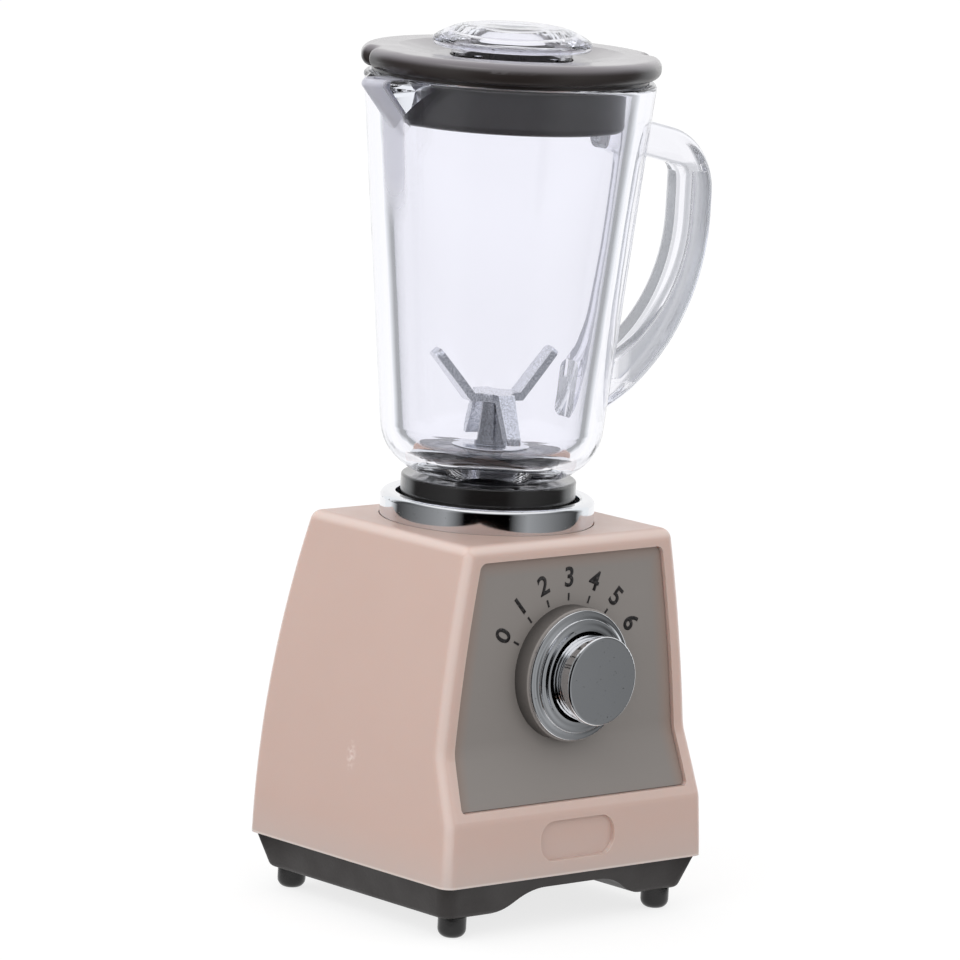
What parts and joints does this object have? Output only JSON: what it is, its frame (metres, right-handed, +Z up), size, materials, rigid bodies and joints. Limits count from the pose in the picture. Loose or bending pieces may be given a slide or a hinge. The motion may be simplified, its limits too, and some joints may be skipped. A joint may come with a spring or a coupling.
{
  "type": "toy jug blender",
  "caption": "Miniature toy blender: flared base with front knob and feet, clear jug with spout, handle and bent cross blade, plug lid and clear cap.",
  "frame": {"origin": "centre of the four feet, on the surface that they stand on", "axes": "+Z up along the jug, -Y out of the front with the knob, +X towards the jug's handle"},
  "size_m": [0.0312, 0.0243, 0.064],
  "materials": {
    "housing_pink": "satin",
    "panel_grey": "satin",
    "plate_dark": "satin",
    "plated": "bright plating",
    "spring_steel": "plain",
    "clear": "clear",
    "collar_black": "gloss",
    "blade_silver": "silver paint",
    "lid_dark": "gloss",
    "foot_black": "gloss"
  },
  "bodies": {
    "base": {"housing": "housing_pink", "front_panel": "panel_grey", "knob_bezel": "plated", "bottom_plate": "plate_dark", "seat_ring": "plated", "foot_front_left": "foot_black", "foot_front_right": "foot_black", "foot_back_left": "foot_black", "foot_back_right": "foot_black"},
    "knob": {"knob": "plated", "knob_clip": "spring_steel"},
    "jug": {"jar": "clear", "jar_collar": "collar_black", "blade_base": "plated"},
    "blade": {"blade_post": "blade_silver", "blade": "blade_silver", "post_clip": "spring_steel"},
    "lid": {"lid": "lid_dark"},
    "cap": {"lid_cap": "clear"}
  },
  "joints": [
    {"name": "knob_turn", "type": "hinge", "parent": "base", "child": "knob", "pos_m": [0, -0.00868, 0.01835], "axis": [0, -1, 0], "continuous": true},
    {"name": "jug_lift", "type": "slide", "parent": "base", "child": "jug", "axis": [0, 0, 1], "range_m": [0, 0.025]},
    {"name": "blade_spin", "type": "hinge", "parent": "jug", "child": "blade", "pos_m": [0, 0.00075, 0.0333], "axis": [0, 0, 1], "continuous": true},
    {"name": "lid_lift", "type": "slide", "parent": "jug", "child": "lid", "axis": [0, 0, 1], "range_m": [0, 0.02]},
    {"name": "cap_lift", "type": "slide", "parent": "lid", "child": "cap", "axis": [0, 0, 1], "range_m": [0, 0.01]}
  ]
}
